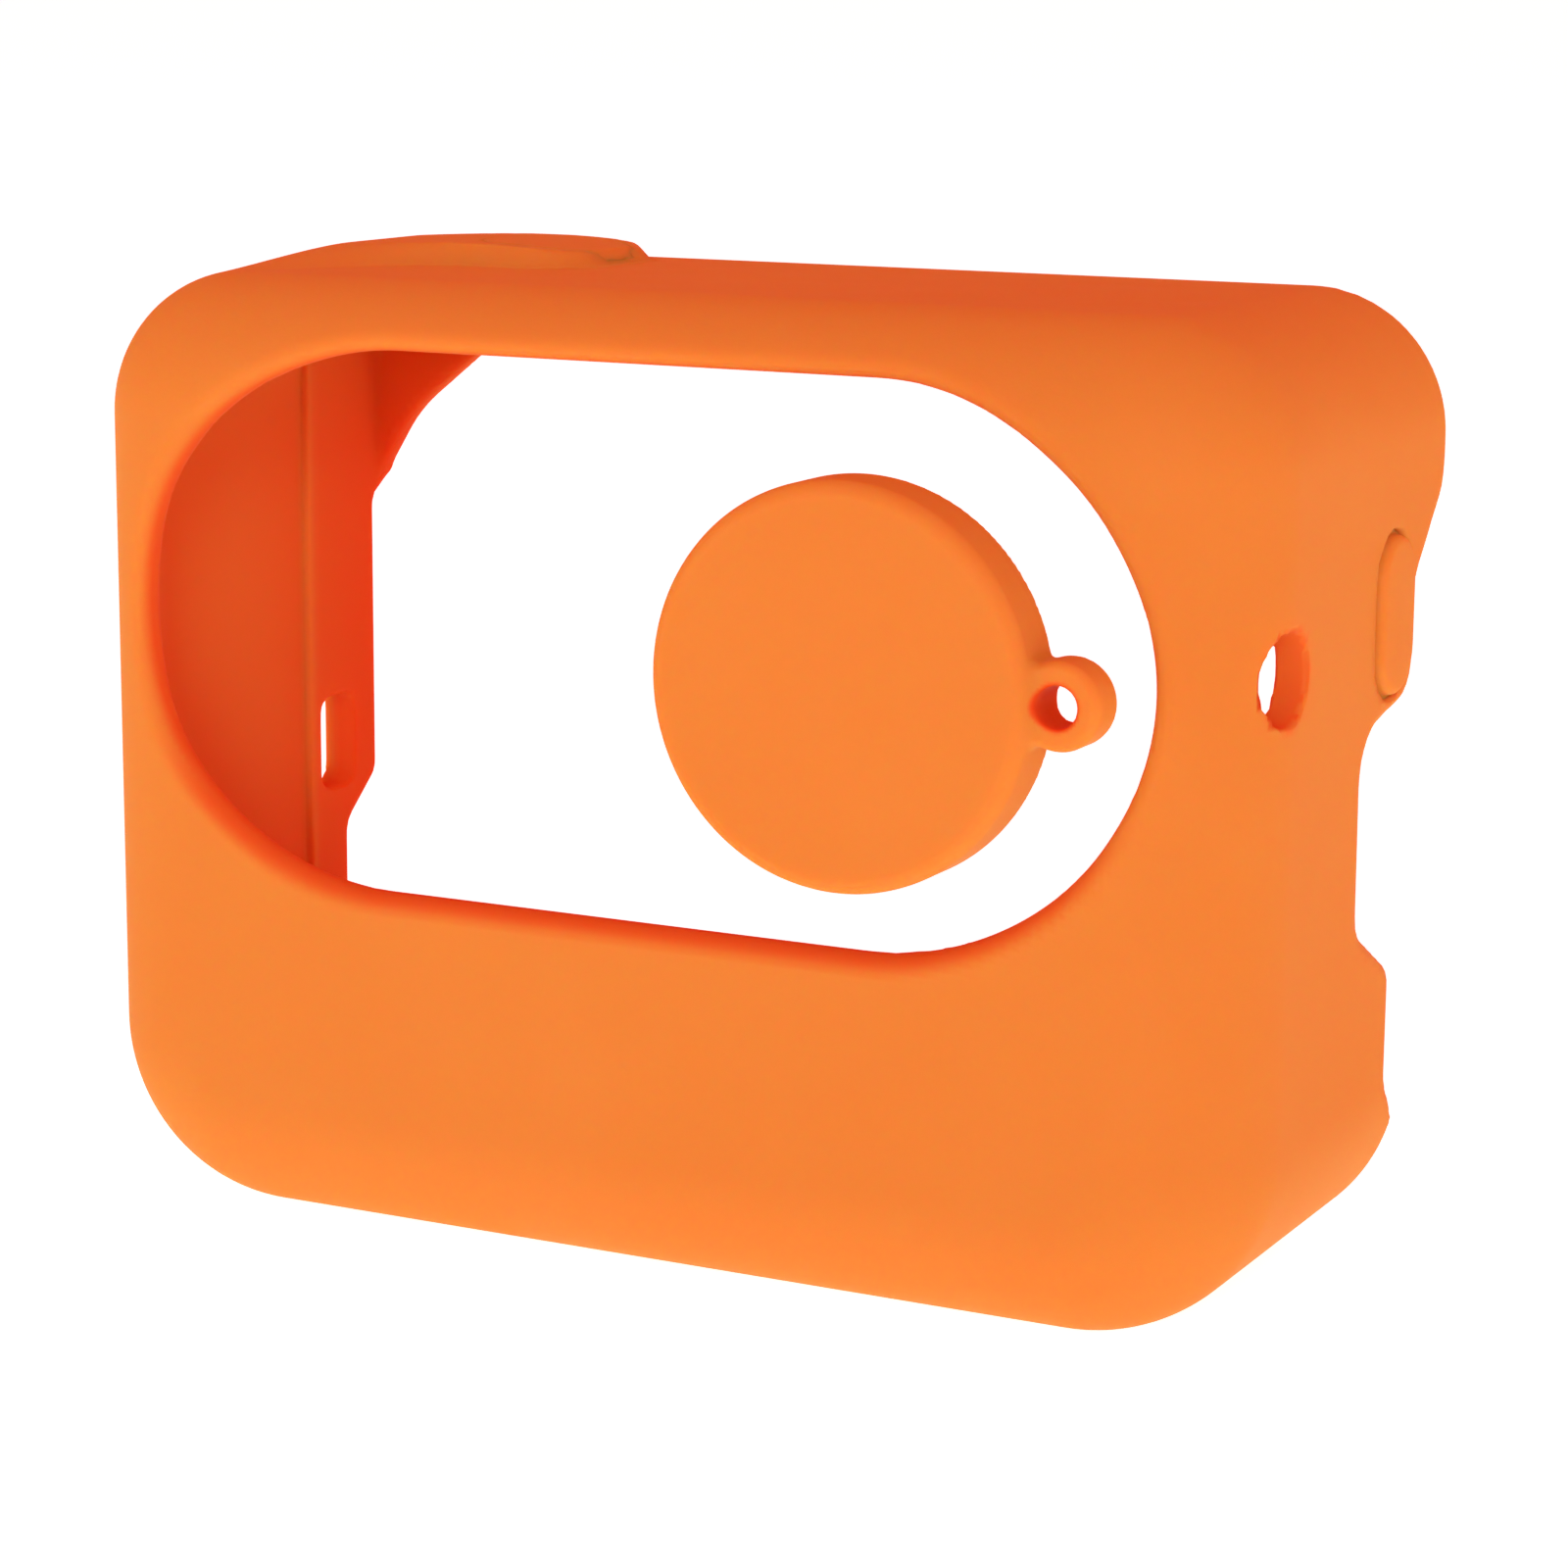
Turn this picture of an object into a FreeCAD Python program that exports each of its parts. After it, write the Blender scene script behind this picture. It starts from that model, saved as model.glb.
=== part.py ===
"""Silicone protective sleeve for a box-shaped action camera, with its lens cap.

Frame: +X to the right seen from the front, +Y to the rear, +Z up, millimetres.
The origin is at the bottom centre of the whole part. Inside each body Y is counted
from the front face of the sleeve, and the body's Placement moves it to the origin.
"""
import FreeCAD, Part
import math
import os
import Sketcher

DIMENSIONS = (
    # the sleeve's shell
    ("sleeve_width", 76.0),
    ("sleeve_height", 57.7),
    ("sleeve_depth", 33.2),
    ("front_setback", 13.8),
    ("wall", 2.0),
    ("top_corner", 8.5),
    ("bottom_corner", 12.2),
    ("front_round", 8.0),
    # the window round the camera's lens and front glass
    ("lens_x", 16.45),
    ("lens_z", 37.95),
    ("window_left_x", -16.45),
    ("window_radius", 16.0),
    # the thicker band round the rear edge and the lip that holds the camera in
    ("band_start", 23.0),
    ("band_step", 0.45),
    ("band_low", 11.4),
    ("band_high", 50.0),
    ("lip_thick", 1.8),
    ("lip_inset", 1.0),
    ("lip_low_x", 35.3),
    ("lip_low_z", 38.0),
    ("lip_bend_x", 30.9),
    ("lip_bend_z", 47.6),
    ("lip_top_x", 25.6),
    ("lip_top_z", 52.8),
    # the rear edges of the side walls
    ("foot_edge", 29.0),
    ("foot_high", 8.6),
    ("foot_slope", 2.4),
    ("left_low_edge", 27.5),
    ("left_low_top", 19.4),
    ("left_edge", 31.1),
    ("left_edge_foot", 22.4),
    ("left_edge_top", 41.0),
    ("left_lip_foot", 42.6),
    ("right_low_edge", 26.0),
    ("right_low_top", 18.2),
    ("notch_edge", 19.8),
    ("notch_foot", 21.6),
    ("notch_top", 33.4),
    ("right_edge", 28.4),
    ("right_edge_foot", 34.4),
    ("right_edge_top", 41.6),
    ("right_lip_foot", 46.6),
    # openings in the walls
    ("port_y", 7.2),
    ("port_z", 38.4),
    ("port_radius", 2.65),
    ("strap_y", 26.2),
    ("strap_z", 25.2),
    ("strap_half_y", 2.0),
    ("strap_half_z", 3.1),
    ("foot_cut_y", 16.0),
    ("foot_cut_half_x", 15.0),
    ("foot_cut_half_y", 7.5),
    ("foot_cut_round", 4.0),
    # the raised ramp over the shutter, and its flexing pad
    ("ramp_start_x", -34.5),
    ("ramp_top_x", -24.0),
    ("ramp_end_x", -13.0),
    ("ramp_foot_x", -12.2),
    ("ramp_rise", 1.3),
    ("ramp_half_y", 5.6),
    ("ramp_round", 1.0),
    ("shutter_x", -18.0),
    ("shutter_y", 25.0),
    ("shutter_radius", 4.2),
    ("shutter_proud", 0.2),
    # the flexing pad over the side button
    ("side_y", 24.3),
    ("side_z", 39.65),
    ("side_radius", 2.9),
    ("side_half_z", 4.75),
    ("side_proud", 0.6),
    ("pad_gap", 0.15),
    ("pad_round", 0.45),
    # the lens cap
    ("cap_front", 5.6),
    ("cap_thick", 4.1),
    ("cap_radius", 11.3),
    ("cap_bore_radius", 9.8),
    ("cap_face", 1.4),
    ("cap_round", 0.9),
    ("eyelet_out", 12.6),
    ("eyelet_radius", 2.45),
    ("eyelet_hole_radius", 1.25),
    ("eyelet_behind", 1.0),
    ("eyelet_thick", 2.8),
)

doc = FreeCAD.newDocument("camera_sleeve")
sheet = doc.addObject("Spreadsheet::Sheet", "dims")
for row, (alias, value) in enumerate(DIMENSIONS, start=1):
    sheet.set(f"A{row}", alias)
    sheet.set(f"B{row}", str(value))
    sheet.setAlias(f"B{row}", alias)
doc.recompute()


def val(alias):
    """The number in a cell of the sheet."""
    return float(sheet.get(alias))


def ref(text):
    """An expression on the sheet: each word that is an alias gets the sheet's name."""
    for alias, _ in sorted(DIMENSIONS, key=lambda item: -len(item[0])):
        text = text.replace(f"[{alias}]", f"dims.{alias}")
    return text


def number(text):
    """The value of an expression, for the first drawing of a sketch."""
    for alias, value in DIMENSIONS:
        text = text.replace(f"[{alias}]", f"({value})")
    return float(FreeCAD.Units.parseQuantity(text).Value)


def new_body(name):
    body = doc.addObject("PartDesign::Body", name)
    body.Label = name
    body.setExpression("Placement.Base.y", ref("-[front_setback]"))
    return body


def new_sketch(body, name, plane, offset=None):
    """A sketch on an origin plane of its own body, moved along the plane's normal."""
    sketch = body.newObject("Sketcher::SketchObject", name)
    support = next(f for f in body.Origin.OriginFeatures if f.Role == plane)
    sketch.AttachmentSupport = (support, [""])
    sketch.MapMode = "FlatFace"
    if offset:
        sketch.setExpression("AttachmentOffset.Base.z", ref(offset))
    return sketch


def fix_point(sketch, name, geometry, end, across, up):
    """Ties one point of a sketch to two expressions."""
    for kind, text in (("DistanceX", across), ("DistanceY", up)):
        place = number(text)
        index = sketch.addConstraint(
            Sketcher.Constraint(kind, -1, 1, geometry, end, place))
        label = f"{name}_{kind[-1]}"
        sketch.renameConstraint(index, label)
        sketch.setExpression(f"Constraints.{label}", ref(text))


def polygon(sketch, corners):
    """A closed outline of straight lines; each corner is a pair of expressions."""
    spots = [FreeCAD.Vector(number(a), number(b), 0) for a, b in corners]
    count = len(spots)
    for i in range(count):
        sketch.addGeometry(Part.LineSegment(spots[i], spots[(i + 1) % count]), False)
    for i in range(count):
        sketch.addConstraint(Sketcher.Constraint("Coincident", i, 2, (i + 1) % count, 1))
    for i, (a, b) in enumerate(corners):
        fix_point(sketch, f"corner{i}", i, 1, a, b)


def circle(sketch, across, up, radius):
    centre = FreeCAD.Vector(number(across), number(up), 0)
    sketch.addGeometry(Part.Circle(centre, FreeCAD.Vector(0, 0, 1), number(radius)), False)
    fix_point(sketch, "centre", 0, 3, across, up)
    index = sketch.addConstraint(Sketcher.Constraint("Radius", 0, number(radius)))
    sketch.renameConstraint(index, "size")
    sketch.setExpression("Constraints.size", ref(radius))


def pill(sketch, first, second, radius):
    """Two half circles joined by lines; first and second are the centres."""
    a = FreeCAD.Vector(number(first[0]), number(first[1]), 0)
    b = FreeCAD.Vector(number(second[0]), number(second[1]), 0)
    r = number(radius)
    turn = math.atan2(b.y - a.y, b.x - a.x)
    side = FreeCAD.Vector(-math.sin(turn), math.cos(turn), 0) * r
    axis = FreeCAD.Vector(0, 0, 1)
    half = math.pi / 2
    sketch.addGeometry(
        Part.ArcOfCircle(Part.Circle(a, axis, r), turn + half, turn + 3 * half), False)
    sketch.addGeometry(Part.LineSegment(a - side, b - side), False)
    sketch.addGeometry(
        Part.ArcOfCircle(Part.Circle(b, axis, r), turn - half, turn + half), False)
    sketch.addGeometry(Part.LineSegment(b + side, a + side), False)
    for one, one_end, two, two_end in ((0, 2, 1, 1), (1, 2, 2, 1), (2, 2, 3, 1), (3, 2, 0, 1)):
        sketch.addConstraint(Sketcher.Constraint("Tangent", one, one_end, two, two_end))
    fix_point(sketch, "first", 0, 3, *first)
    fix_point(sketch, "second", 2, 3, *second)
    index = sketch.addConstraint(Sketcher.Constraint("Radius", 0, r))
    sketch.renameConstraint(index, "size")
    sketch.setExpression("Constraints.size", ref(radius))


def pad(body, name, sketch, length, reverse=False):
    feature = body.newObject("PartDesign::Pad", name)
    feature.Profile = sketch
    feature.setExpression("Length", ref(length))
    feature.Reversed = reverse
    doc.recompute()
    return feature


def pocket(body, name, sketch, length, reverse=False):
    """A cut, with a test that it took material away."""
    before = body.Shape.Volume
    feature = body.newObject("PartDesign::Pocket", name)
    feature.Profile = sketch
    feature.setExpression("Length", ref(length))
    feature.Reversed = reverse
    doc.recompute()
    if body.Shape.Volume > before - 0.1:
        raise RuntimeError(f"{name} cut nothing")
    return feature


def edges(feature, test):
    """Names of the edges whose box passes a test."""
    return [f"Edge{i}" for i, edge in enumerate(feature.Shape.Edges, start=1)
            if test(edge.BoundBox)]


def fillet(body, name, base, chosen, radius):
    feature = body.newObject("PartDesign::Fillet", name)
    feature.Base = (base, chosen)
    feature.setExpression("Radius", ref(radius))
    doc.recompute()
    return feature


def near(a, b, slack=0.01):
    return abs(a - b) < slack


def make_sleeve():
    body = new_body("sleeve")
    width, height, depth = val("sleeve_width"), val("sleeve_height"), val("sleeve_depth")

    # block with its four long corners and its front edge rounded
    outline = new_sketch(body, "outline", "XZ_Plane")
    polygon(outline, (("-[sleeve_width] / 2", "0"), ("[sleeve_width] / 2", "0"),
                      ("[sleeve_width] / 2", "[sleeve_height]"),
                      ("-[sleeve_width] / 2", "[sleeve_height]")))
    block = pad(body, "block", outline, "[sleeve_depth]", reverse=True)
    along_y = lambda box: box.YLength > depth / 2
    top = fillet(body, "top_corners", block,
                 edges(block, lambda box: along_y(box) and box.ZMin > height / 2),
                 "[top_corner]")
    low = fillet(body, "bottom_corners", top,
                 edges(top, lambda box: along_y(box) and near(box.ZMax, 0)
                       and near(abs(box.XMin), width / 2)),
                 "[bottom_corner]")
    front = fillet(body, "front_round_edge", low,
                   edges(low, lambda box: near(box.YMax, 0)), "[front_round]")

    # hollowed from the rear
    hollow = body.newObject("PartDesign::Thickness", "hollow")
    rear = [f"Face{i}" for i, face in enumerate(front.Shape.Faces, start=1)
            if near(face.BoundBox.YMin, depth) and near(face.BoundBox.YMax, depth)]
    hollow.Base = (front, rear)
    hollow.setExpression("Value", ref("[wall]"))
    hollow.Reversed = True
    doc.recompute()

    add_window(body)
    add_shutter_ramp(body)
    add_rear_band(body)
    add_rear_lip(body)
    cut_rear_edges(body)
    cut_openings(body)
    return body


def add_window(body):
    """The pill-shaped window: its right half circle is centred on the lens."""
    sketch = new_sketch(body, "window_outline", "XZ_Plane")
    pill(sketch, ("[window_left_x]", "[lens_z]"), ("[lens_x]", "[lens_z]"), "[window_radius]")
    pocket(body, "window", sketch, "[front_round]")


def add_shutter_ramp(body):
    """A raised boss on the top wall: it climbs slowly from the left and ends in a step."""
    sketch = new_sketch(body, "ramp_outline", "XZ_Plane", "-[shutter_y] + [ramp_half_y]")
    root = "[sleeve_height] - [wall] / 2"
    crown = "[sleeve_height] + [ramp_rise]"
    polygon(sketch, (("[ramp_start_x]", root), ("[ramp_foot_x]", root),
                     ("[ramp_end_x]", crown), ("[ramp_top_x]", crown)))
    boss = pad(body, "shutter_ramp", sketch, "[ramp_half_y] * 2", reverse=True)
    high = val("sleeve_height") + val("ramp_rise")
    crown_edges = edges(boss, lambda box: near(box.ZMax, high) and box.XMax < 0
                        and box.ZMin > val("sleeve_height") - 0.01)
    fillet(body, "ramp_edges", boss, crown_edges, "[ramp_round]")


def add_rear_band(body):
    """Both side walls are thicker from band_start to the rear, on the inside."""
    for side, name in ((-1, "left_band"), (1, "right_band")):
        sketch = new_sketch(body, f"{name}_outline", "XZ_Plane", "-[sleeve_depth]")
        inner = f"{side} * ([sleeve_width] / 2 - [wall] - [band_step])"
        outer = f"{side} * ([sleeve_width] / 2 - [wall] / 2)"
        polygon(sketch, ((inner, "[band_low]"), (outer, "[band_low]"),
                         (outer, "[band_high]"), (inner, "[band_high]")))
        pad(body, name, sketch, "[sleeve_depth] - [band_start]")


def add_rear_lip(body):
    """The inward lip along the top of the rear opening, wide in its two corners."""
    sketch = new_sketch(body, "lip_outline", "XZ_Plane", "-[sleeve_depth]")
    wall_x = "([sleeve_width] / 2 - [lip_inset])"
    wall_z = "([sleeve_height] - [lip_inset])"
    corner_x = "([sleeve_width] / 2 - [top_corner])"
    corner_z = "([sleeve_height] - [top_corner])"
    reach = "([top_corner] - [lip_inset]) * sqrt(0.5)"
    right_half = (
        ("[lip_low_x]", "[lip_low_z]"), (wall_x, "[lip_low_z]"), (wall_x, corner_z),
        (f"{corner_x} + {reach}", f"{corner_z} + {reach}"), (corner_x, wall_z),
    )
    right_inside = (("[lip_top_x]", "[lip_top_z]"), ("[lip_bend_x]", "[lip_bend_z]"))
    mirrored = lambda corners: tuple((f"-({a})", b) for a, b in reversed(corners))
    polygon(sketch, right_half + mirrored(right_half)
            + mirrored(right_inside) + right_inside)
    pad(body, "rear_lip", sketch, "[lip_thick]")


def cut_rear_edges(body):
    """Each side wall's rear edge steps forward below the lip; the right one is notched."""
    behind = "[sleeve_depth] + 1"
    below = "-1"
    foot = (("[foot_edge]", "[foot_high]"), ("[foot_edge]", below), (behind, below))
    low = "[foot_high] + [foot_slope]"
    left = (
        (behind, "[left_lip_foot]"), ("[sleeve_depth]", "[left_lip_foot]"),
        ("[left_edge]", "[left_edge_top]"), ("[left_edge]", "[left_edge_foot]"),
        ("[left_low_edge]", "[left_low_top]"), ("[left_low_edge]", low),
    ) + foot
    right = (
        (behind, "[right_lip_foot]"), ("[sleeve_depth]", "[right_lip_foot]"),
        ("[right_edge]", "[right_edge_top]"), ("[right_edge]", "[right_edge_foot]"),
        ("[notch_edge]", "[notch_top]"), ("[notch_edge]", "[notch_foot]"),
        ("[right_low_edge]", "[right_low_top]"), ("[right_low_edge]", low),
    ) + foot
    for name, corners, forward in (("left_edge_cut", left, False),
                                   ("right_edge_cut", right, True)):
        sketch = new_sketch(body, f"{name}_outline", "YZ_Plane")
        polygon(sketch, corners)
        pocket(body, name, sketch, "[sleeve_width] / 2 + 1", reverse=forward)


def cut_openings(body):
    across = "[sleeve_width] / 2 + 1"
    port = new_sketch(body, "port_outline", "YZ_Plane")
    circle(port, "[port_y]", "[port_z]", "[port_radius]")
    pocket(body, "side_port", port, across, reverse=True)

    strap = new_sketch(body, "strap_outline", "YZ_Plane")
    centre_high = "[strap_z] + [strap_half_z] - [strap_half_y]"
    centre_low = "[strap_z] - [strap_half_z] + [strap_half_y]"
    pill(strap, ("[strap_y]", centre_low), ("[strap_y]", centre_high), "[strap_half_y]")
    pocket(body, "strap_slot", strap, across)

    side = new_sketch(body, "side_pad_outline", "YZ_Plane")
    pill(side, ("[side_y]", "[side_z] - [side_half_z] + [side_radius]"),
         ("[side_y]", "[side_z] + [side_half_z] - [side_radius]"),
         "[side_radius] + [pad_gap]")
    pocket(body, "side_pad_hole", side, across, reverse=True)

    shutter = new_sketch(body, "shutter_outline", "XY_Plane", "[sleeve_height] / 2")
    circle(shutter, "[shutter_x]", "[shutter_y]", "[shutter_radius] + [pad_gap]")
    pocket(body, "shutter_hole", shutter, "[sleeve_height]", reverse=True)

    foot = new_sketch(body, "foot_cut_outline", "XY_Plane")
    polygon(foot, (("-[foot_cut_half_x]", "[foot_cut_y] - [foot_cut_half_y]"),
                   ("[foot_cut_half_x]", "[foot_cut_y] - [foot_cut_half_y]"),
                   ("[foot_cut_half_x]", "[foot_cut_y] + [foot_cut_half_y]"),
                   ("-[foot_cut_half_x]", "[foot_cut_y] + [foot_cut_half_y]")))
    cut = pocket(body, "foot_cut", foot, "[wall] + 1", reverse=True)
    upright = edges(cut, lambda box: near(box.ZMin, 0) and near(box.ZMax, val("wall"))
                    and near(abs(box.XMin), val("foot_cut_half_x")) and box.YLength < 0.01)
    fillet(body, "foot_cut_corners", cut, upright, "[foot_cut_round]")


def make_shutter_pad():
    """The flexing round pad over the shutter button."""
    body = new_body("shutter_pad")
    sketch = new_sketch(body, "outline", "XY_Plane", "[sleeve_height] - [wall]")
    circle(sketch, "[shutter_x]", "[shutter_y]", "[shutter_radius]")
    plug = pad(body, "plug", sketch, "[wall] + [ramp_rise] + [shutter_proud]")
    high = val("sleeve_height") + val("ramp_rise") + val("shutter_proud")
    fillet(body, "crown", plug, edges(plug, lambda box: near(box.ZMin, high)), "[pad_round]")
    return body


def make_side_button_pad():
    """The flexing stadium-shaped pad over the side button."""
    body = new_body("side_button_pad")
    inner = "[sleeve_width] / 2 - [wall] - [band_step]"
    sketch = new_sketch(body, "outline", "YZ_Plane", inner)
    pill(sketch, ("[side_y]", "[side_z] - [side_half_z] + [side_radius]"),
         ("[side_y]", "[side_z] + [side_half_z] - [side_radius]"), "[side_radius]")
    plug = pad(body, "plug", sketch, "[wall] + [band_step] + [side_proud]")
    outer = val("sleeve_width") / 2 + val("side_proud")
    fillet(body, "crown", plug, edges(plug, lambda box: near(box.XMin, outer)), "[pad_round]")
    return body


def make_lens_cap():
    """A shallow round cap that grips the lens barrel, with a lanyard eyelet on its rim."""
    body = new_body("lens_cap")
    back = "[cap_front] - [cap_thick]"
    disc = new_sketch(body, "disc_outline", "XZ_Plane", back)
    circle(disc, "[lens_x]", "[lens_z]", "[cap_radius]")
    drum = pad(body, "drum", disc, "[cap_thick]")
    ring = new_sketch(body, "eyelet_outline", "XZ_Plane",
                      "[cap_front] - [eyelet_behind] - [eyelet_thick]")
    pill(ring, ("[lens_x] + [cap_radius] - 1", "[lens_z]"),
         ("[lens_x] + [eyelet_out]", "[lens_z]"), "[eyelet_radius]")
    lug = pad(body, "eyelet_lug", ring, "[eyelet_thick]")
    front = -val("cap_front")
    rim = fillet(body, "front_edge", lug,
                 edges(lug, lambda box: near(box.YMin, front) and near(box.YMax, front)),
                 "[cap_round]")
    bore = new_sketch(body, "bore_outline", "XZ_Plane", back)
    circle(bore, "[lens_x]", "[lens_z]", "[cap_bore_radius]")
    pocket(body, "lens_bore", bore, "[cap_thick] - [cap_face]", reverse=True)
    hole = new_sketch(body, "eyelet_hole_outline", "XZ_Plane")
    circle(hole, "[lens_x] + [eyelet_out]", "[lens_z]", "[eyelet_hole_radius]")
    pocket(body, "eyelet_hole", hole, "[cap_front] + 1", reverse=True)
    return body


def check_document():
    for item in doc.Objects:
        if "Invalid" in item.State or "Error" in item.State:
            raise RuntimeError(f"{item.Name} did not compute: {item.State}")


def export(bodies):
    os.makedirs("parts", exist_ok=True)
    for body in bodies:
        shape = body.Shape
        if shape.isNull() or not shape.isValid():
            raise RuntimeError(f"{body.Label} has no valid shape")
        shape.exportStep(f"parts/{body.Label}.step")
        box = shape.BoundBox
        print(f"{body.Label}: {len(shape.Solids)} solid, {shape.Volume:.0f} mm3, "
              f"X {box.XMin:.2f} to {box.XMax:.2f}, Y {box.YMin:.2f} to {box.YMax:.2f}, "
              f"Z {box.ZMin:.2f} to {box.ZMax:.2f}")


parts = (make_sleeve(), make_shutter_pad(), make_side_button_pad(), make_lens_cap())
doc.recompute()
check_document()
export(parts)
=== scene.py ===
"""Looks of the silicone camera sleeve and its lens cap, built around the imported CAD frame.

Shapes are written as distance fields in millimetres. X and Z are the row frame's, and Y is
counted from the sleeve's front face. Each field is negative inside the solid. A field is
turned into a mesh on a grid, and every point is then moved onto the true surface.
"""
import math

import bpy
import numpy as np
from mathutils import Matrix, Vector


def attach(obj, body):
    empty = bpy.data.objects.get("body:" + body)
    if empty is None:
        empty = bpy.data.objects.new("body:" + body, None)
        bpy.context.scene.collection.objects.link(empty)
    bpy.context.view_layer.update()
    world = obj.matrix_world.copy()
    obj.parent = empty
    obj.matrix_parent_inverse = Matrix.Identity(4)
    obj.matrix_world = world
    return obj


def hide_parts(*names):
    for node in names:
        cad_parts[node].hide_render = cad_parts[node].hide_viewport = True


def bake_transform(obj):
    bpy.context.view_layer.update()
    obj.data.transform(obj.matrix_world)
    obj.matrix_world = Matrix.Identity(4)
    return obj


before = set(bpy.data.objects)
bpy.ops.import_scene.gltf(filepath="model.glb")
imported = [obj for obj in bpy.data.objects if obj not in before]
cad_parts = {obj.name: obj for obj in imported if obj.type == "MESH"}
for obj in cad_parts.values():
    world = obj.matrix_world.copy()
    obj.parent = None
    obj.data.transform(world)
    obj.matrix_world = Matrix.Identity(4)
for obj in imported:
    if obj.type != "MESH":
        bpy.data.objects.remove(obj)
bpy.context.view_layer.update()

MM = 0.001
SETBACK = 13.8                  # the sleeve's front face is this far in front of the origin

# the sleeve's shell
WIDTH, HEIGHT, DEPTH = 76.0, 57.7, 33.2
WALL = 2.0
TOP_CORNER, BOTTOM_CORNER = 8.5, 11.6
FRONT_ROUND = 8.0
REAR_EDGE_ROUND = 0.7

# the front window: straight above and below, with half ellipses at its ends
LENS_Z = 37.95                  # the window and the cap are centred at this height
WINDOW_LEFT, WINDOW_RIGHT = -32.9, 32.45
WINDOW_HALF_Z = 16.0
WINDOW_END = 17.3
WINDOW_FRONT_EDGE, WINDOW_REAR_EDGE = 1.3, 0.4
WINDOW_REACH = 12.0             # the cut goes this far back

# the band and the lip at the rear, on the inside
BAND_START, BAND_STEP = 23.0, 0.45
BAND_LOW, BAND_HIGH = 11.4, 60.0
BAND_ROUND = 0.2
LIP_THICK, LIP_LOW = 1.8, 40.0
LIP_ROUND, LIP_FILLET = 0.5, 0.6

# the ramp over the shutter: a bowed crest that flares to the front at its left end
RAMP_LEFT, RAMP_RIGHT = -46.0, -13.6
RAMP_Y, RAMP_HALF_Y = 25.0, 5.9
RAMP_CREST_X, RAMP_RISE = -21.0, 1.36
RAMP_BOW_LEFT, RAMP_BOW_RIGHT = 0.0032, 0.0085
RAMP_CORNER, RAMP_STEP = 3.2, 1.3
FLARE, FLARE_START_X, FLARE_LENGTH = 8.0, -20.0, 16.0
RAMP_FADE_LOW, RAMP_FADE = 8.0, 6.0     # the rise fades in over this height, below the top

# holes: the sound port on the right, the strap slot on the left, the opening in the bottom
PORT_Y, PORT_Z, PORT_RADIUS = 7.25, 38.4, 2.62
STRAP_Y, STRAP_Z, STRAP_HALF_Y, STRAP_HALF_Z, STRAP_CORNER = 26.2, 25.2, 2.0, 3.1, 1.2
FOOT_Y, FOOT_HALF_X, FOOT_HALF_Y, FOOT_CORNER, FOOT_REACH_Z = 16.0, 15.0, 7.5, 4.0, 8.0
SIDE_WALLS_X, TOP_WALL_Z = 25.0, 50.0   # beyond these there is only one wall to cut
PORT_EDGE, STRAP_EDGE, FOOT_EDGE = 0.12, 0.2, 0.5
SIDE_EDGE, SHUTTER_EDGE = 0.3, 0.25     # the edges of the two pads' holes

# the flexing pads
SHUTTER_X, SHUTTER_Y, SHUTTER_RADIUS = -18.0, 25.0, 4.2
SHUTTER_PROUD, SHUTTER_DIP, SHUTTER_RIM, SHUTTER_FOOT_Z = 0.04, 0.2, 0.8, 56.6
SIDE_Y, SIDE_Z, SIDE_RADIUS, SIDE_HALF_Z = 24.3, 39.65, 2.9, 4.75
SIDE_TOP_X, SIDE_CROWN, SIDE_FOOT_X, SIDE_ROUND = 38.46, 0.1, 36.4, 0.45
WEB_X, WEB_HALF, WEB_RIM = 36.8, 0.8, 0.4
PAD_GAP = 0.15

# the lens cap and the eyelet on its rim
CAP_X = 16.62
CAP_FRONT, CAP_THICK, CAP_RADIUS = 5.6, 4.1, 11.3
CAP_BORE, CAP_FACE = 9.8, 1.4
CAP_ROUND = 0.9
EYELET_OUT, EYELET_RADIUS, EYELET_HOLE = 12.6, 2.45, 1.17
EYELET_BEHIND, EYELET_THICK = 1.0, 2.8
NECK_HALF = 1.55, 1.8           # half height and half length of the eyelet's neck


# ---------------------------------------------------------------- distance fields

def meet(a, b, r):
    """Intersection of two solids, with their common edge rounded to radius r."""
    a, b = a + r, b + r
    return (np.minimum(np.maximum(a, b), 0)
            + np.hypot(np.maximum(a, 0), np.maximum(b, 0)) - r)


def join(a, b, r):
    """Union of two solids, with a fillet of radius r where they meet."""
    return -meet(-a, -b, r)


def cut(solid, tool, r):
    """Solid without the tool, with the new edge rounded to radius r."""
    return meet(solid, -tool, r)


def ease(t):
    t = np.clip(t, 0, 1)
    return t * t * (3 - 2 * t)


def round_box(u, v, half_u, half_v, r):
    """Rectangle about the origin of the plane u, v, with corners of radius r."""
    u, v = np.abs(u) - half_u + r, np.abs(v) - half_v + r
    return (np.minimum(np.maximum(u, v), 0)
            + np.hypot(np.maximum(u, 0), np.maximum(v, 0)) - r)


def stadium(u, v, half_u, half_v, r):
    """Two half circles joined by straight lines, about the origin of the plane u, v."""
    u = np.abs(u) - (half_u - r)
    v = np.abs(v) - (half_v - r)
    return np.hypot(np.maximum(u, 0), np.maximum(v, 0)) - r


def pill(u, v, half_u, half_v, end):
    """Two half ellipses joined by straight lines; each half ellipse is end long."""
    u = np.maximum(np.abs(u) - (half_u - end), 0) * half_v / end
    return np.hypot(u, v) - half_v


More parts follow.
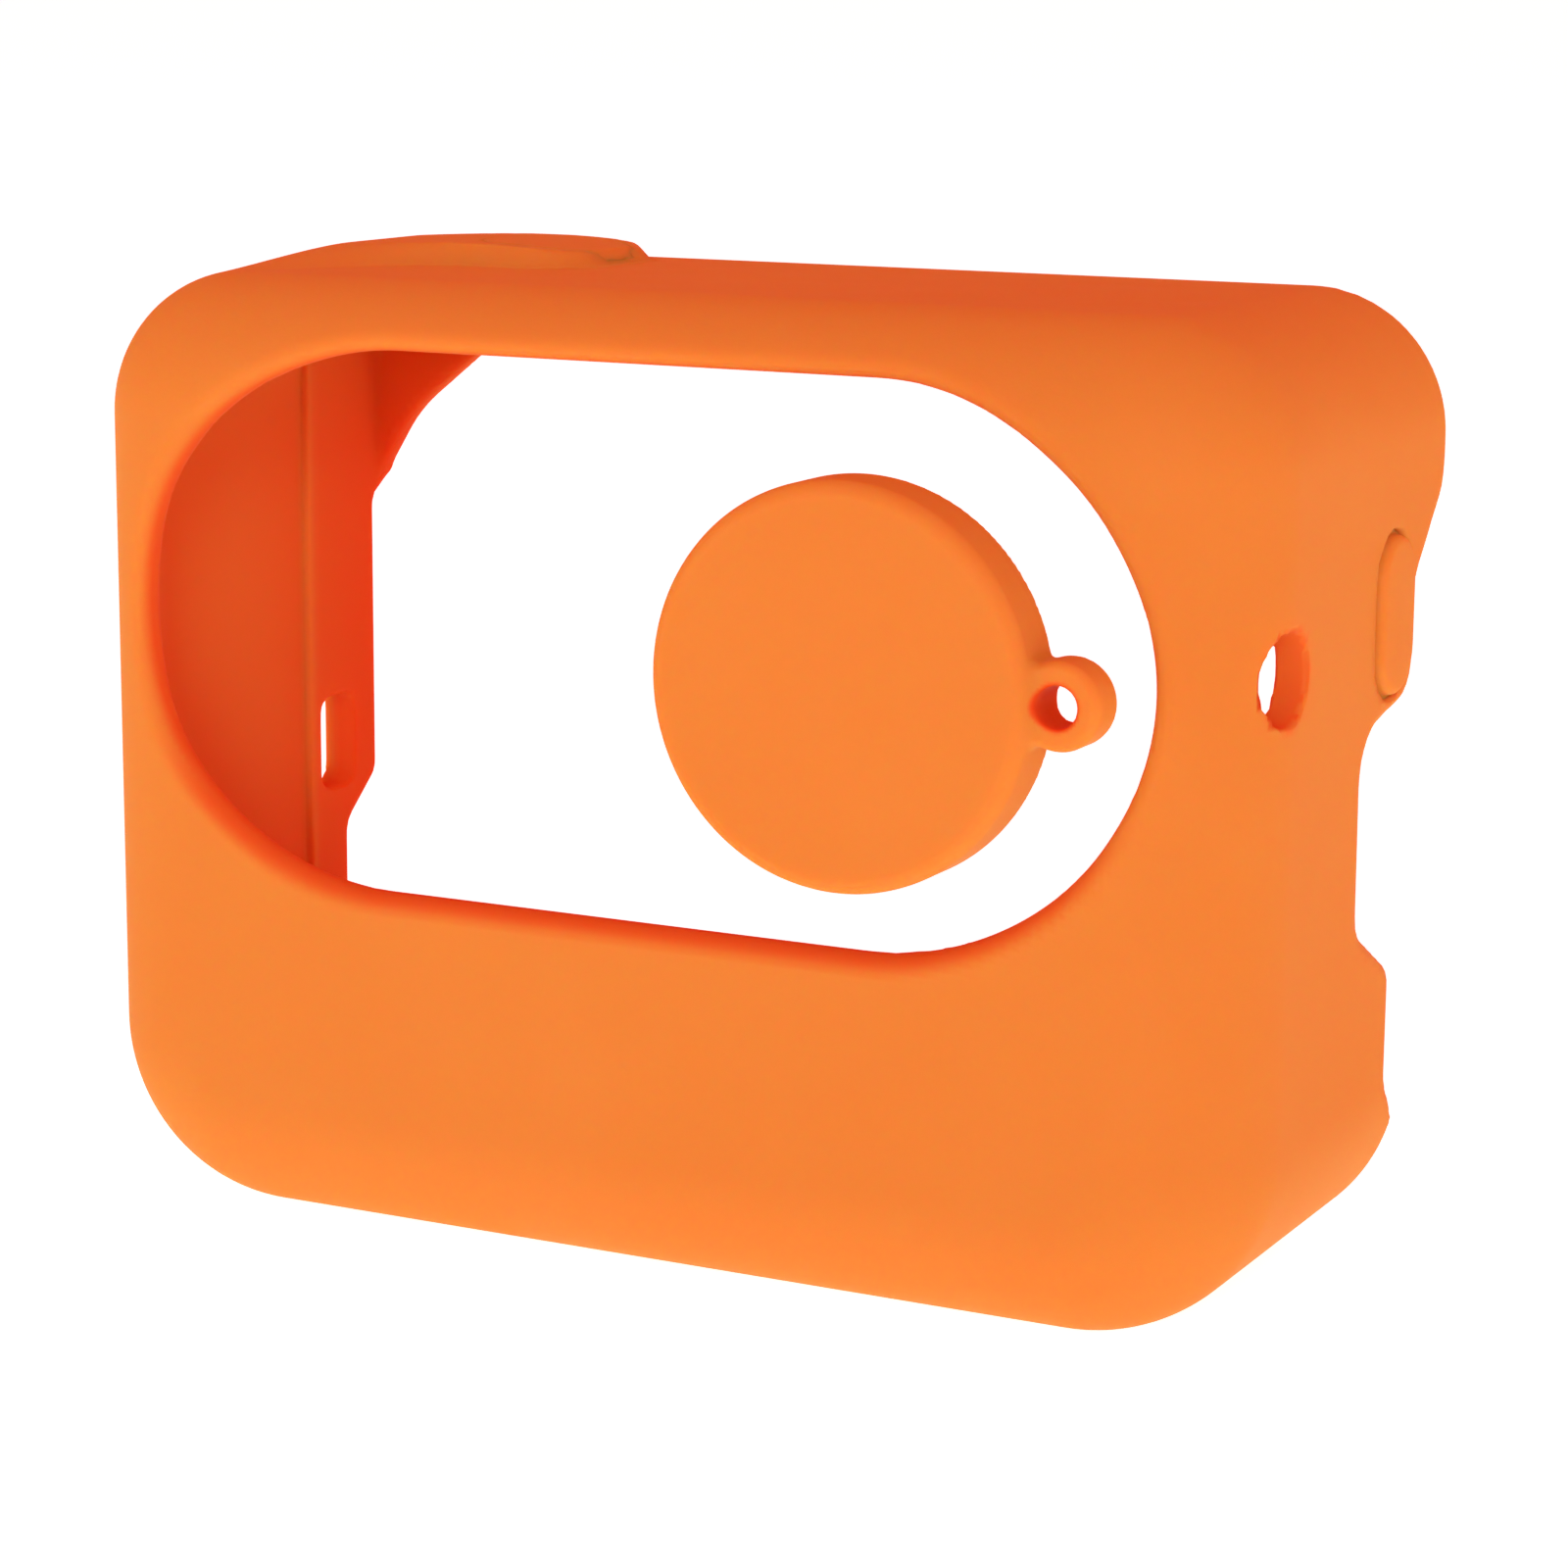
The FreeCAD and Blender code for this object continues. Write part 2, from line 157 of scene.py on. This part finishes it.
def rounded_outline(corners, steps=6):
    """Points of a closed outline; each corner is (u, v, radius)."""
    points = []
    count = len(corners)
    for i, (u, v, r) in enumerate(corners):
        here = np.array((u, v))
        back = np.array(corners[i - 1][:2]) - here
        ahead = np.array(corners[(i + 1) % count][:2]) - here
        back = back / np.linalg.norm(back)
        ahead = ahead / np.linalg.norm(ahead)
        half = math.acos(np.clip(back @ ahead, -1, 1)) / 2
        if r == 0 or half > math.pi / 2 - 0.01:
            points.append(here)
            continue
        middle = (back + ahead) / np.linalg.norm(back + ahead)
        centre = here + middle * r / math.sin(half)
        first = here + back * r / math.tan(half) - centre
        last = here + ahead * r / math.tan(half) - centre
        for k in range(steps + 1):
            spoke = first + (last - first) * k / steps
            points.append(centre + spoke / np.linalg.norm(spoke) * r)
    return np.array(points)


def outline_field(points, u, v):
    """Signed distance to a closed outline."""
    u, v = np.broadcast_arrays(u, v)
    nearest = np.full(u.shape, 1e9)
    inside = np.zeros(u.shape, bool)
    for a, b in zip(points, np.roll(points, -1, axis=0)):
        along = b - a
        du, dv = u - a[0], v - a[1]
        t = np.clip((du * along[0] + dv * along[1]) / (along @ along), 0, 1)
        nearest = np.minimum(nearest, (du - t * along[0]) ** 2 + (dv - t * along[1]) ** 2)
        crosses = (a[1] > v) != (b[1] > v)
        if along[1] != 0:
            inside ^= crosses & (du < dv * along[0] / along[1])
    return np.where(inside, -1, 1) * np.sqrt(nearest)


FAR = 70.0                      # well outside the object
# side view of what is kept of each side wall: (y, z, corner radius)
LEFT_KEPT = rounded_outline((
    (-FAR, -FAR, 0), (29.0, -FAR, 0), (29.0, 8.6, 1.0), (27.5, 11.0, 2.0), (27.5, 19.4, 1.5),
    (31.1, 22.4, 1.5), (31.1, 41.0, 1.2), (DEPTH, 42.6, 0.8), (DEPTH, FAR + 30, 0),
    (-FAR, FAR + 30, 0)))
RIGHT_KEPT = rounded_outline((
    (-FAR, -FAR, 0), (29.0, -FAR, 0), (29.0, 8.6, 1.0), (26.0, 11.4, 2.0), (26.0, 18.4, 1.6),
    (19.8, 21.8, 2.0), (19.6, 33.0, 3.2), (28.3, 34.6, 2.6), (28.4, 41.2, 1.8),
    (DEPTH, 46.4, 3.4), (DEPTH, FAR + 30, 0), (-FAR, FAR + 30, 0)))
# view from behind of the opening inside the lip: (x, z, corner radius)
REAR_HOLE = rounded_outline((
    (-35.9, -FAR, 0), (35.9, -FAR, 0), (35.9, 42.0, 1.5), (32.9, 46.9, 10.0),
    (25.3, 53.0, 6.0), (-25.3, 53.0, 6.0), (-32.9, 46.9, 10.0), (-35.9, 42.0, 1.5)))


def skin(x, y, z):
    """The outer skin, open to the rear."""
    high = z - HEIGHT / 2
    r = np.where(high > 0, TOP_CORNER, BOTTOM_CORNER)
    return meet(round_box(x, high, WIDTH / 2, HEIGHT / 2, r), -y, FRONT_ROUND)


def ramp(x, y, z):
    """Height of the raised ramp over the shutter."""
    flare = FLARE * ease((FLARE_START_X - x) / FLARE_LENGTH)
    along = y - RAMP_Y
    along = np.where(along < 0, along * RAMP_HALF_Y / (RAMP_HALF_Y + flare), along)
    plan = round_box(x - (RAMP_LEFT + RAMP_RIGHT) / 2, along,
                     (RAMP_RIGHT - RAMP_LEFT) / 2, RAMP_HALF_Y, RAMP_CORNER)
    bow = np.where(x < RAMP_CREST_X, RAMP_BOW_LEFT, RAMP_BOW_RIGHT)
    crest = np.maximum(RAMP_RISE - bow * (x - RAMP_CREST_X) ** 2, 0)
    edge = ease(0.5 - plan / (RAMP_STEP + flare))
    return crest * edge * ease((z - HEIGHT + RAMP_FADE_LOW) / RAMP_FADE)


def window(x, z):
    """Outline of the front window."""
    return pill(x - (WINDOW_RIGHT + WINDOW_LEFT) / 2, z - LENS_Z,
                (WINDOW_RIGHT - WINDOW_LEFT) / 2, WINDOW_HALF_Z, WINDOW_END)


def port_hole(y, z):
    """Outline of the round sound port."""
    return np.hypot(y - PORT_Y, z - PORT_Z) - PORT_RADIUS


def lining(x, y, z):
    """All that surrounds the cavity: the walls from their inner side, the band and the lip."""
    walls = -(skin(x, y, z) + WALL)
    band = meet(WIDTH / 2 - WALL - BAND_STEP - np.abs(x), BAND_START - y, BAND_ROUND)
    middle, half = (BAND_LOW + BAND_HIGH) / 2, (BAND_HIGH - BAND_LOW) / 2
    band = meet(band, np.abs(z - middle) - half, BAND_ROUND)
    lip = meet(-outline_field(REAR_HOLE, x, z), DEPTH - LIP_THICK - y, LIP_ROUND)
    lip = np.maximum(lip, LIP_LOW - z)
    return join(join(walls, band, BAND_ROUND), lip, LIP_FILLET)


def sleeve_field(x, y, z):
    """The sleeve: its shell, with the window, the side outlines and the holes cut."""
    outer = skin(x, y, z) - ramp(x, y, z)
    hole = np.maximum(window(x, z), y - WINDOW_REACH)
    solid = np.maximum(cut(outer, hole, WINDOW_FRONT_EDGE),
                       cut(lining(x, y, z), hole, WINDOW_REAR_EDGE))
    kept = np.where(x < 0, outline_field(LEFT_KEPT, y, z), outline_field(RIGHT_KEPT, y, z))
    solid = meet(solid, kept, REAR_EDGE_ROUND)
    port = np.maximum(port_hole(y, z), SIDE_WALLS_X - x)
    strap = np.maximum(
        stadium(y - STRAP_Y, z - STRAP_Z, STRAP_HALF_Y, STRAP_HALF_Z, STRAP_CORNER),
        x + SIDE_WALLS_X)
    foot = np.maximum(round_box(x, y - FOOT_Y, FOOT_HALF_X, FOOT_HALF_Y, FOOT_CORNER),
                      z - FOOT_REACH_Z)
    side = np.maximum(
        stadium(y - SIDE_Y, z - SIDE_Z, SIDE_RADIUS + PAD_GAP, SIDE_HALF_Z + PAD_GAP,
                SIDE_RADIUS + PAD_GAP), SIDE_WALLS_X - x)
    shutter = np.maximum(np.hypot(x - SHUTTER_X, y - SHUTTER_Y) - SHUTTER_RADIUS - PAD_GAP,
                         TOP_WALL_Z - z)
    for tool, edge in ((port, PORT_EDGE), (strap, STRAP_EDGE), (foot, FOOT_EDGE),
                       (side, SIDE_EDGE), (shutter, SHUTTER_EDGE)):
        solid = cut(solid, tool, edge)
    return solid


def cap_field(x, y, z):
    """The lens cap: a shallow cup that opens to the rear, with an eyelet on its right."""
    across = np.hypot(x - CAP_X, z - LENS_Z)
    ahead, back = -CAP_FRONT - y, y + CAP_FRONT - CAP_THICK
    drum = meet(meet(across - CAP_RADIUS, ahead, CAP_ROUND), back, 0.3)
    lug_x, lug_z = x - CAP_X - EYELET_OUT, z - LENS_Z
    lug_front = -CAP_FRONT + EYELET_BEHIND - y
    lug_back = y + CAP_FRONT - EYELET_BEHIND - EYELET_THICK
    centre = np.hypot(lug_x, lug_z)
    neck_z, neck_x = NECK_HALF
    neck = np.maximum(np.abs(lug_z) - neck_z, np.abs(lug_x + neck_x) - neck_x)
    lug = join(centre - EYELET_RADIUS, neck, 0.8)
    lug = meet(meet(lug, lug_front, 0.55), lug_back, 0.4)
    solid = cut(join(drum, lug, 0.7), centre - EYELET_HOLE, 0.15)
    bore = meet(across - CAP_BORE, CAP_FACE - CAP_FRONT - y, 0.6)
    return cut(solid, bore, 0.3)


def shutter_field(x, y, z):
    """Round pad flush with the ramp; its rim dips under the edge of its hole."""
    across = np.hypot(x - SHUTTER_X, y - SHUTTER_Y)
    proud = SHUTTER_PROUD - SHUTTER_DIP * ease((across - SHUTTER_RADIUS - 0.1) / 0.7)
    top = z - HEIGHT - ramp(x, y, z) - proud
    puck = meet(across - SHUTTER_RADIUS - SHUTTER_RIM, top, 0.05)
    return meet(puck, SHUTTER_FOOT_Z - z, 0.1)


def side_field(x, y, z):
    """Stadium pad over the side button, on a web that closes its hole."""
    plan = stadium(y - SIDE_Y, z - SIDE_Z, SIDE_RADIUS, SIDE_HALF_Z, SIDE_RADIUS)
    top = SIDE_TOP_X - SIDE_CROWN * np.clip(1 + plan / SIDE_RADIUS, 0, 1) ** 2
    crown = meet(meet(plan + 0.1, x - top, SIDE_ROUND), SIDE_FOOT_X - x, 0.1)
    web = meet(plan - WEB_RIM, np.abs(x - WEB_X) - WEB_HALF, 0.1)
    return join(crown, web, 0.12)


# ---------------------------------------------------------------- painted shade

def sleeve_painted_shade(x, y, z):
    """Painted shade: up to 1 on the inner surfaces, and 0 on the outer skin except near the
    bottom.

    The window's lower edge and the sound port get painted shade too.
    """
    below = ease((-skin(x, y, z) - 0.25) / 0.9)
    # painted highlight at the band's step, and less painted shade high up behind the front wall
    below = below * (1 - 0.4 * np.exp(-((y - BAND_START - 0.1) / 0.5) ** 2))
    below = below * (1 - 0.3 * ease((z - 44) / 8) * ease((y - 6) / 6))
    # painted shade along the window's lower edge
    sill = ease(1.2 - window(x, z)) * ease((LENS_Z - 6 - z) / 6) * ease(3 - y)
    below = np.maximum(below, 0.9 * sill)
    # painted shade in the sound port
    port = ease((0.33 - port_hole(y, z)) / 0.25) * (x > SIDE_WALLS_X)
    below = np.maximum(below, port)
    # painted shade deepest towards the rear
    below = below * (0.8 - 0.2 * ease((y - 4) / 6) + 0.4 * ease((y - 14) / 18))
    # painted shade on the skin towards the bottom
    underside = 0.28 * ease((9 - z) / 9)
    return np.maximum(below, underside)


def cap_painted_shade(x, y, z):
    """Painted shade: 1 in the eyelet's hole and inside the cap, 0 elsewhere."""
    hole = np.hypot(x - CAP_X - EYELET_OUT, z - LENS_Z) - EYELET_HOLE
    bore = np.maximum(np.hypot(x - CAP_X, z - LENS_Z) - CAP_BORE, CAP_FACE - CAP_FRONT - y)
    return ease(1.2 - np.minimum(hole, bore - 0.2) / 0.25)


# ---------------------------------------------------------------- fields to meshes

def spaced(*spans):
    """Grid lines: each span is (start, end, step)."""
    lines = []
    for start, end, step in spans:
        count = max(1, round((end - start) / step))
        lines.extend(start + (end - start) * k / count for k in range(count))
    lines.append(spans[-1][1])
    return np.array(lines)


def slope(field, p, h=0.02):
    """Gradient of a field at the rows of p."""
    parts = []
    for axis in range(3):
        step = np.zeros(3)
        step[axis] = h
        parts.append((field(*(p + step).T) - field(*(p - step).T)) / (2 * h))
    return np.array(parts).T


def polygonise(field, lines):
    """A mesh of quads at the field's zero: one point in each cell that the surface crosses."""
    xs, ys, zs = lines
    value = field(xs[:, None, None], ys[None, :, None], zs[None, None, :])
    value = np.where(value == 0, 1e-9, value)
    cells = tuple(n - 1 for n in value.shape)
    total = np.zeros((int(np.prod(cells)), 3))
    hits = np.zeros(len(total))
    edges = []
    for axis in range(3):
        low = [slice(None)] * 3
        high = [slice(None)] * 3
        low[axis], high[axis] = slice(None, -1), slice(1, None)
        a, b = value[tuple(low)], value[tuple(high)]
        spot = np.array(np.nonzero((a < 0) != (b < 0))).T
        a, b = a[tuple(spot.T)], b[tuple(spot.T)]
        share = a / (a - b)
        at = np.array([line[spot[:, i]] for i, line in enumerate(lines)]).T
        line = lines[axis]
        at[:, axis] += share * (line[spot[:, axis] + 1] - line[spot[:, axis]])
        one, two = (axis + 1) % 3, (axis + 2) % 3
        ring = []
        for d_one, d_two in ((-1, -1), (0, -1), (0, 0), (-1, 0)):
            cell = spot.copy()
            cell[:, one] += d_one
            cell[:, two] += d_two
            flat = np.ravel_multi_index(cell.T, cells, mode="clip")
            np.add.at(total, flat, at)
            np.add.at(hits, flat, 1)
            ring.append(flat)
        ring = np.array(ring).T
        edges.append(np.where((a < 0)[:, None], ring, ring[:, ::-1]))
    used = np.nonzero(hits)[0]
    number = np.zeros(len(total), int)
    number[used] = np.arange(len(used))
    points = total[used] / hits[used][:, None]
    return points, number[np.concatenate(edges)]


def settle(field, points, reach, rounds=4):
    """Moves points onto the field's surface, and returns them with the surface's normals."""
    start = points.copy()
    for _ in range(rounds):
        away = slope(field, points)
        size = np.maximum((away ** 2).sum(1), 0.2)
        points = points - away * (field(*points.T) / size)[:, None]
        points = start + np.clip(points - start, -reach, reach)
    away = slope(field, points)
    return points, away / np.maximum(np.linalg.norm(away, axis=1), 1e-6)[:, None]


def to_frame(points):
    """From millimetres behind the front face to the frame's metres."""
    return (points + np.array((0, -SETBACK, 0))) * MM


def build(name, field, lines, material, painted_shade=None):
    """Makes the piece whose surface is the field's zero; the last argument gives the painted
    shade's depth.
    """
    points, quads = polygonise(field, lines)
    points, normals = settle(field, points, 0.25)
    mesh = bpy.data.meshes.new(name)
    mesh.from_pydata(to_frame(points).tolist(), [], quads.tolist())
    mesh.polygons.foreach_set("use_smooth", [True] * len(quads))
    mesh.normals_split_custom_set_from_vertices(normals.tolist())
    shade = mesh.attributes.new("painted_shade", "FLOAT", "POINT")
    if painted_shade:
        shade.data.foreach_set("value", painted_shade(*points.T).tolist())
    mesh.materials.append(material)
    piece = bpy.data.objects.new(name, mesh)
    bpy.context.scene.collection.objects.link(piece)
    print(f"{name}: {len(points)} points, {len(quads)} quads")
    return piece


# ---------------------------------------------------------------- materials

ORANGE, ORANGE_DEEP = (0.75, 0.230, 0.040), (0.74, 0.212, 0.035)
PAINTED_SHADE_RED = (0.78, 0.068, 0.010)   # red of the painted shade where it is deepest
# how far light runs inside the silicone: the shares of red, green and blue, and metres
LIGHT_SHARES, LIGHT_REACH = (1.0, 0.18, 0.04), 0.0015


def silicone(name, rough):
    """Matte moulded silicone: fine grain, soft mottling, a little light passing through, painted
    shade.
    """
    material = bpy.data.materials.new(name)
    material.use_nodes = True
    tree = material.node_tree
    tree.nodes.clear()

    def add(kind, **values):
        node = tree.nodes.new(kind)
        for key, value in values.items():
            node.inputs[key.replace("_", " ")].default_value = value
        return node

    def noise(scale, detail):
        node = add("ShaderNodeTexNoise", Scale=scale, Detail=detail)
        tree.links.new(where.outputs["Object"], node.inputs["Vector"])
        return node.outputs["Fac"]

    def mixed(factor):
        node = tree.nodes.new("ShaderNodeMix")
        node.data_type = "RGBA"
        tree.links.new(factor, node.inputs["Factor"])
        return node

    out = add("ShaderNodeOutputMaterial")
    where = add("ShaderNodeTexCoord")
    shader = add("ShaderNodeBsdfPrincipled")
    tree.links.new(shader.outputs["BSDF"], out.inputs["Surface"])
    shader.inputs["Subsurface Weight"].default_value = 1.0
    shader.inputs["Subsurface Radius"].default_value = LIGHT_SHARES
    shader.inputs["Subsurface Scale"].default_value = LIGHT_REACH
    shader.inputs["Specular IOR Level"].default_value = 0.01

    # colour: two close oranges mottled together, and painted shade in deep red where the
    # attribute says
    spread = add("ShaderNodeMapRange", From_Min=0.35, From_Max=0.8)
    tree.links.new(noise(45, 3), spread.inputs["Value"])
    mottle = mixed(spread.outputs["Result"])
    mottle.inputs["A"].default_value = (*ORANGE, 1)
    mottle.inputs["B"].default_value = (*ORANGE_DEEP, 1)
    painted_shade = tree.nodes.new("ShaderNodeAttribute")
    painted_shade.attribute_name = "painted_shade"
    painted_shade_mix = mixed(painted_shade.outputs["Fac"])
    painted_shade_mix.inputs["B"].default_value = (*PAINTED_SHADE_RED, 1)
    tree.links.new(mottle.outputs["Result"], painted_shade_mix.inputs["A"])
    tree.links.new(painted_shade_mix.outputs["Result"], shader.inputs["Base Color"])

    # finish: patches that are a little more or less matte, and a fine grain
    polish = add("ShaderNodeMapRange", To_Min=rough - 0.06, To_Max=rough + 0.06)
    tree.links.new(noise(160, 4), polish.inputs["Value"])
    tree.links.new(polish.outputs["Result"], shader.inputs["Roughness"])
    grain = add("ShaderNodeBump", Strength=0.15, Distance=0.00004)
    tree.links.new(noise(3500, 2), grain.inputs["Height"])
    tree.links.new(grain.outputs["Normal"], shader.inputs["Normal"])
    return material


sleeve_silicone = silicone("sleeve_silicone", 0.55)
cap_silicone = silicone("cap_silicone", 0.5)


# ---------------------------------------------------------------- the pieces

# the grids are finer at the walls' edges, the band's step, the ramp and the small details
sleeve_lines = (
    spaced((-38.6, -36.1, 0.42), (-36.1, -35.3, 0.16), (-35.3, -28.0, 0.42),
           (-28.0, -11.0, 0.5), (-11.0, 28.0, 0.7),
           (28.0, 35.3, 0.42), (35.3, 36.1, 0.16), (36.1, 38.6, 0.42)),
    spaced((-0.5, 9.0, 0.42), (9.0, 22.6, 0.6), (22.6, 23.6, 0.16), (23.6, 33.8, 0.4)),
    spaced((-0.5, 4.0, 0.45), (4.0, 20.5, 0.62), (20.5, 26.0, 0.42), (26.0, 50.0, 0.56),
           (50.0, 60.2, 0.38)))
sleeve = build("sleeve_shell", sleeve_field, sleeve_lines, sleeve_silicone, sleeve_painted_shade)
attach(sleeve, "sleeve_body")
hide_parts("sleeve")

cap_lines = (
    spaced((4.9, 26.4, 0.32), (26.4, 31.9, 0.2)),
    spaced((-6.0, -1.1, 0.2)),
    spaced((26.3, 34.5, 0.32), (34.5, 41.3, 0.2), (41.3, 49.6, 0.32)))
cap = build("lens_cap_shell", cap_field, cap_lines, cap_silicone, cap_painted_shade)
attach(cap, "lens_cap_body")
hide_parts("lens_cap")

shutter_lines = (
    spaced((-23.3, -12.7, 0.2)), spaced((19.7, 30.3, 0.2)), spaced((56.2, 59.5, 0.15)))
shutter = build("shutter_bump", shutter_field, shutter_lines, sleeve_silicone)
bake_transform(shutter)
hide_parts("shutter_pad")

side_lines = (
    spaced((35.7, 38.9, 0.14)), spaced((20.6, 28.0, 0.2)), spaced((34.1, 45.2, 0.2)))
side_button = build("side_button_dome", side_field, side_lines, sleeve_silicone)
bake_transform(side_button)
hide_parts("side_button_pad")


# ---------------------------------------------------------------- floor, light, camera

FLOOR_HALF = 40.0
FLOOR_GLOW, FLOOR_GLOW_STRENGTH = (0.58, 0.98, 1, 1), 0.84
SKY, SKY_STRENGTH = (1.0, 0.24, 0.20, 1), 0.82
KEY_PLACE, KEY_TARGET = Vector((0.55, -1.48, 0.42)), Vector((0, 0, 0.03))
KEY_SIZE, KEY_WATTS, KEY_COLOUR = 0.5, 15.0, (0.38, 0.98, 1.0)
EYE_PLACE = (0.11204, -0.21379, 0.07588)
EYE_RIGHT, EYE_AHEAD = (0.89171, 0.45248, 0.00778), (-0.44243, 0.87537, -0.19505)
EYE_LENS, EYE_SENSOR = 94.08, 36


def placed(name, data):
    """A new object with this data, put into the scene."""
    thing = bpy.data.objects.new(name, data)
    bpy.context.scene.collection.objects.link(thing)
    return thing


def floor():
    """Pale floor with a cool glow of its own, which evens out the warm light from above."""
    mesh = bpy.data.meshes.new("floor")
    signs = ((-1, -1), (1, -1), (1, 1), (-1, 1))
    mesh.from_pydata([(a * FLOOR_HALF, b * FLOOR_HALF, 0) for a, b in signs], [], [(0, 1, 2, 3)])
    plane = placed("floor", mesh)
    material = bpy.data.materials.new("floor_white")
    material.use_nodes = True
    shader = material.node_tree.nodes["Principled BSDF"]
    shader.inputs["Base Color"].default_value = (0.93, 0.93, 0.93, 1)
    shader.inputs["Roughness"].default_value = 0.9
    shader.inputs["Specular IOR Level"].default_value = 0.1
    shader.inputs["Emission Color"].default_value = FLOOR_GLOW
    shader.inputs["Emission Strength"].default_value = FLOOR_GLOW_STRENGTH
    mesh.materials.append(material)


def sky():
    """Warm light from all round above."""
    world = bpy.data.worlds.new("studio")
    world.use_nodes = True
    back = world.node_tree.nodes["Background"]
    back.inputs["Color"].default_value = SKY
    back.inputs["Strength"].default_value = SKY_STRENGTH
    bpy.context.scene.world = world


def key_light():
    """Large soft lamp in front, behind the camera and a little to its left."""
    data = bpy.data.lights.new("key", "AREA")
    data.shape = "DISK"
    data.size = KEY_SIZE
    data.energy = KEY_WATTS
    data.color = KEY_COLOUR
    lamp = placed("key", data)
    lamp.location = KEY_PLACE
    lamp.rotation_mode = "QUATERNION"
    lamp.rotation_quaternion = (KEY_TARGET - KEY_PLACE).to_track_quat("-Z", "Y")


def camera():
    data = bpy.data.cameras.new("camera")
    data.sensor_width = EYE_SENSOR
    data.lens = EYE_LENS
    eye = placed("camera", data)
    right = Vector(EYE_RIGHT).normalized()
    ahead = Vector(EYE_AHEAD).normalized()
    turn = Matrix((right, right.cross(ahead), -ahead)).transposed().to_4x4()
    eye.matrix_world = Matrix.Translation(EYE_PLACE) @ turn
    bpy.context.scene.camera = eye


floor()
sky()
key_light()
camera()
bpy.context.scene.view_settings.view_transform = "Standard"
